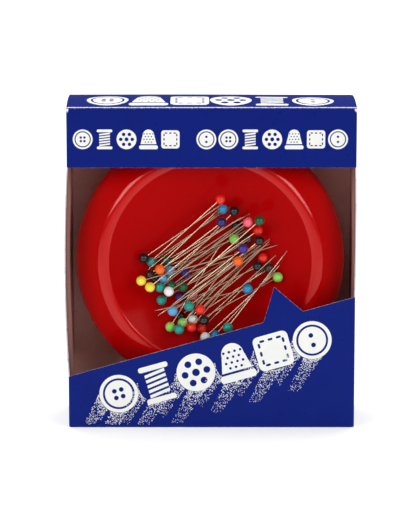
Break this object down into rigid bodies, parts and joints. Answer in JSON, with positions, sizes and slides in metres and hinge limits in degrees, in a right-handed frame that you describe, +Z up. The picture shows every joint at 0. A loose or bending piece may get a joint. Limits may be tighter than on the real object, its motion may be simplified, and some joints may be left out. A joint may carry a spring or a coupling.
{
  "type": "magnetic pin cushion",
  "caption": "Round magnetic pin cushion with ball-head pins lying in its dish, in an open-front window carton with hinged tuck lids.",
  "frame": {"origin": "middle of the carton's base, on the surface it stands on", "axes": "+Z up, +X to the right seen from the window, the window faces -Y"},
  "size_m": [0.114, 0.038, 0.129],
  "materials": {
    "printed_board": "glossy printed carton board, blue outside and grey-brown inside",
    "bare_board": "unprinted grey-brown chipboard",
    "red_plastic": "polished moulded plastic",
    "ferrite": "sintered ferrite",
    "plated_steel": "zinc plated",
    "foam": "closed-cell foam",
    "rubber": "matt",
    "pin_steel": "drawn nickel-plated wire",
    "head_red": "glossy moulded plastic",
    "head_orange": "glossy moulded plastic",
    "head_yellow": "glossy moulded plastic",
    "head_lime": "glossy moulded plastic",
    "head_dark_green": "glossy moulded plastic",
    "head_teal": "glossy moulded plastic",
    "head_blue": "glossy moulded plastic",
    "head_sky_blue": "glossy moulded plastic",
    "head_navy": "glossy moulded plastic",
    "head_purple": "glossy moulded plastic",
    "head_black": "glossy moulded plastic",
    "head_brown": "glossy moulded plastic",
    "head_white": "glossy moulded plastic",
    "head_pink": "glossy moulded plastic"
  },
  "bodies": {
    "carton_and_cushion": {"front_header_panel": "printed_board", "front_lower_panel": "printed_board", "left_panel": "printed_board", "right_panel": "printed_board", "back_panel": "printed_board", "glue_flap": "bare_board", "dish_shell": "red_plastic", "base_cover": "red_plastic", "ring_magnet": "ferrite", "backing_plate": "plated_steel", "foam_ring": "foam", "rubber_feet": "rubber", "pile_pin_wires": "pin_steel", "pile_heads_red": "head_red", "pile_heads_yellow": "head_yellow", "pile_heads_lime": "head_lime", "pile_heads_dark_green": "head_dark_green", "pile_heads_teal": "head_teal", "pile_heads_blue": "head_blue", "pile_heads_sky_blue": "head_sky_blue", "pile_heads_navy": "head_navy", "pile_heads_purple": "head_purple", "pile_heads_black": "head_black", "pile_heads_brown": "head_brown", "pile_heads_white": "head_white", "pile_heads_pink": "head_pink"},
    "top_lid": {"top_lid": "printed_board"},
    "top_dust_flap_left": {"top_dust_flap_left": "bare_board"},
    "top_dust_flap_right": {"top_dust_flap_right": "bare_board"},
    "bottom_lid": {"bottom_lid": "printed_board"},
    "bottom_dust_flap_left": {"bottom_dust_flap_left": "bare_board"},
    "bottom_dust_flap_right": {"bottom_dust_flap_right": "bare_board"},
    "loose_pin_1": {"loose_pin_1_wire": "pin_steel", "loose_pin_1_head": "head_yellow"},
    "loose_pin_2": {"loose_pin_2_wire": "pin_steel", "loose_pin_2_head": "head_black"},
    "loose_pin_3": {"loose_pin_3_wire": "pin_steel", "loose_pin_3_head": "head_red"},
    "loose_pin_4": {"loose_pin_4_wire": "pin_steel", "loose_pin_4_head": "head_pink"},
    "loose_pin_5": {"loose_pin_5_wire": "pin_steel", "loose_pin_5_head": "head_orange"},
    "loose_pin_6": {"loose_pin_6_wire": "pin_steel", "loose_pin_6_head": "head_teal"},
    "loose_pin_7": {"loose_pin_7_wire": "pin_steel", "loose_pin_7_head": "head_dark_green"},
    "loose_pin_8": {"loose_pin_8_wire": "pin_steel", "loose_pin_8_head": "head_orange"}
  },
  "joints": [
    {"name": "top_lid_hinge", "type": "hinge", "parent": "carton_and_cushion", "child": "top_lid", "pos_m": [0, -0.0185, 0.129], "axis": [1, 0, 0], "range_deg": [0, 170]},
    {"name": "top_dust_flap_left_hinge", "type": "hinge", "parent": "carton_and_cushion", "child": "top_dust_flap_left", "pos_m": [-0.0565, 0, 0.1284], "axis": [0, -1, 0], "range_deg": [0, 110]},
    {"name": "top_dust_flap_right_hinge", "type": "hinge", "parent": "carton_and_cushion", "child": "top_dust_flap_right", "pos_m": [0.0565, 0, 0.1284], "axis": [0, 1, 0], "range_deg": [0, 110]},
    {"name": "bottom_lid_hinge", "type": "hinge", "parent": "carton_and_cushion", "child": "bottom_lid", "pos_m": [0, -0.0185, 0], "axis": [-1, 0, 0], "range_deg": [0, 170]},
    {"name": "bottom_dust_flap_left_hinge", "type": "hinge", "parent": "carton_and_cushion", "child": "bottom_dust_flap_left", "pos_m": [-0.0565, 0, 0.0006], "axis": [0, 1, 0], "range_deg": [0, 110]},
    {"name": "bottom_dust_flap_right_hinge", "type": "hinge", "parent": "carton_and_cushion", "child": "bottom_dust_flap_right", "pos_m": [0.0565, 0, 0.0006], "axis": [0, -1, 0], "range_deg": [0, 110]},
    {"name": "loose_pin_1_lift", "type": "slide", "parent": "carton_and_cushion", "child": "loose_pin_1", "axis": [0, -1, 0], "range_m": [0, 0.04]},
    {"name": "loose_pin_2_lift", "type": "slide", "parent": "carton_and_cushion", "child": "loose_pin_2", "axis": [0, -1, 0], "range_m": [0, 0.04]},
    {"name": "loose_pin_3_lift", "type": "slide", "parent": "carton_and_cushion", "child": "loose_pin_3", "axis": [0, -1, 0], "range_m": [0, 0.04]},
    {"name": "loose_pin_4_lift", "type": "slide", "parent": "carton_and_cushion", "child": "loose_pin_4", "axis": [0, -1, 0], "range_m": [0, 0.04]},
    {"name": "loose_pin_5_lift", "type": "slide", "parent": "carton_and_cushion", "child": "loose_pin_5", "axis": [0, -1, 0], "range_m": [0, 0.04]},
    {"name": "loose_pin_6_lift", "type": "slide", "parent": "carton_and_cushion", "child": "loose_pin_6", "axis": [0, -1, 0], "range_m": [0, 0.04]},
    {"name": "loose_pin_7_lift", "type": "slide", "parent": "carton_and_cushion", "child": "loose_pin_7", "axis": [0, -1, 0], "range_m": [0, 0.04]},
    {"name": "loose_pin_8_lift", "type": "slide", "parent": "carton_and_cushion", "child": "loose_pin_8", "axis": [0, -1, 0], "range_m": [0, 0.04]}
  ],
  "couplings": [
    {"joint": "top_dust_flap_left_hinge", "follows": "top_lid_hinge", "ratio": 0.5},
    {"joint": "top_dust_flap_right_hinge", "follows": "top_lid_hinge", "ratio": 0.5},
    {"joint": "bottom_dust_flap_left_hinge", "follows": "bottom_lid_hinge", "ratio": 0.5},
    {"joint": "bottom_dust_flap_right_hinge", "follows": "bottom_lid_hinge", "ratio": 0.5}
  ]
}
